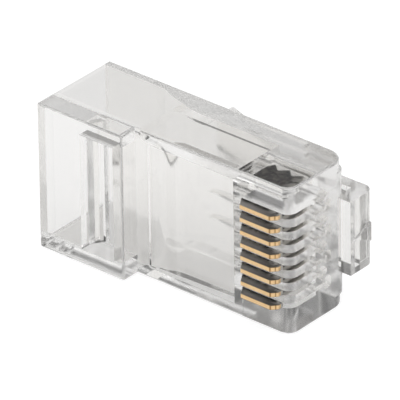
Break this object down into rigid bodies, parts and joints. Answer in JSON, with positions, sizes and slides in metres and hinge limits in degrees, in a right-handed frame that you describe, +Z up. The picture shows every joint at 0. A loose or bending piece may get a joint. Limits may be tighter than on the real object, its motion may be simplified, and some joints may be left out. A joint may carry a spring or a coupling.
{
  "type": "rj45 modular plug",
  "caption": "Clear modular plug for round data cable, with a row of proud gold-edged contact blades, an open cable entry and a sprung release latch.",
  "frame": {"origin": "middle of the narrow side that the plug stands on, half way along its body and between its collar face and its latch-side face", "axes": "+X out of the nose that enters the jack, +Y from the contact face towards the latch, +Z up from the side it stands on"},
  "size_m": [0.0231, 0.0138, 0.0117],
  "materials": {
    "clear_polycarbonate": "clear polished moulding",
    "gold_contact": "gold plated edge, grey broad sides"
  },
  "bodies": {
    "body": {"housing": "clear_polycarbonate", "contact_1": "gold_contact", "contact_2": "gold_contact", "contact_3": "gold_contact", "contact_4": "gold_contact", "contact_5": "gold_contact", "contact_6": "gold_contact", "contact_7": "gold_contact", "contact_8": "gold_contact"},
    "release_latch": {"latch": "clear_polycarbonate"}
  },
  "joints": [
    {"name": "latch_press", "type": "hinge", "parent": "body", "child": "release_latch", "pos_m": [0.0103, 0.0045, 0.00584], "axis": [0, 0, 1], "range_deg": [0, 15], "stiffness_Nm_per_rad": 0.2}
  ]
}
